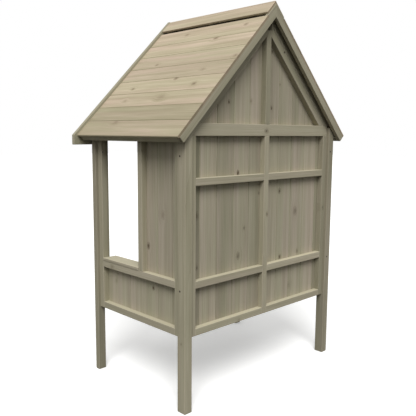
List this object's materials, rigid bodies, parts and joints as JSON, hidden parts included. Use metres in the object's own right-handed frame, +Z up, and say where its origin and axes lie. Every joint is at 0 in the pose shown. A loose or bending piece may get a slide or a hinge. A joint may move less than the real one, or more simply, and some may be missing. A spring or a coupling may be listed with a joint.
{
  "type": "garden arbour",
  "caption": "Gable-roofed timber garden arbour with a boarded back, boarded sides with half windows, armrests and a slatted bench under a steep boarded roof.",
  "frame": {"origin": "middle of the arbour's width and of its roof's length, at ground level", "axes": "+X to the right of someone facing the open front from outside, +Y towards the boarded back, +Z up"},
  "size_m": [1.412, 0.877, 2.0838],
  "materials": {
    "frame_timber": "planed, pressure-treated and weathered",
    "wall_boards": "planed, pressure-treated and weathered",
    "roof_timber": "planed, pressure-treated, dry"
  },
  "bodies": {
    "root": {"front_post_right": "frame_timber", "front_post_left": "frame_timber", "back_post_right": "frame_timber", "back_post_left": "frame_timber", "back_stiles": "frame_timber", "back_middle_stile": "frame_timber", "back_rails": "frame_timber", "back_tie_beam": "frame_timber", "back_boards": "wall_boards", "back_gable_king_post": "frame_timber", "back_gable_rails": "frame_timber", "back_gable_boards": "wall_boards", "side_stiles_right": "frame_timber", "side_stiles_left": "frame_timber", "side_middle_stile_right": "frame_timber", "side_middle_stile_left": "frame_timber", "side_rails_right": "frame_timber", "side_rails_left": "frame_timber", "side_lower_boards_right": "wall_boards", "side_lower_boards_left": "wall_boards", "side_upper_boards_right": "wall_boards", "side_upper_boards_left": "wall_boards", "armrest_right": "frame_timber", "armrest_left": "frame_timber", "front_tie_beam": "frame_timber", "front_king_post": "frame_timber", "front_gable_rails": "frame_timber", "roof_boards_right": "roof_timber", "roof_boards_left": "roof_timber", "rafters_right": "frame_timber", "rafters_left": "frame_timber", "eave_battens": "frame_timber", "back_bargeboards": "frame_timber", "front_bargeboard_right": "frame_timber", "front_bargeboard_left": "frame_timber", "ridge_beam": "frame_timber", "cap_packers": "frame_timber", "ridge_cap_right": "roof_timber", "ridge_cap_left": "roof_timber", "seat_bearers": "frame_timber", "seat_rails": "frame_timber", "seat_slats": "frame_timber"}
  },
  "joints": []
}
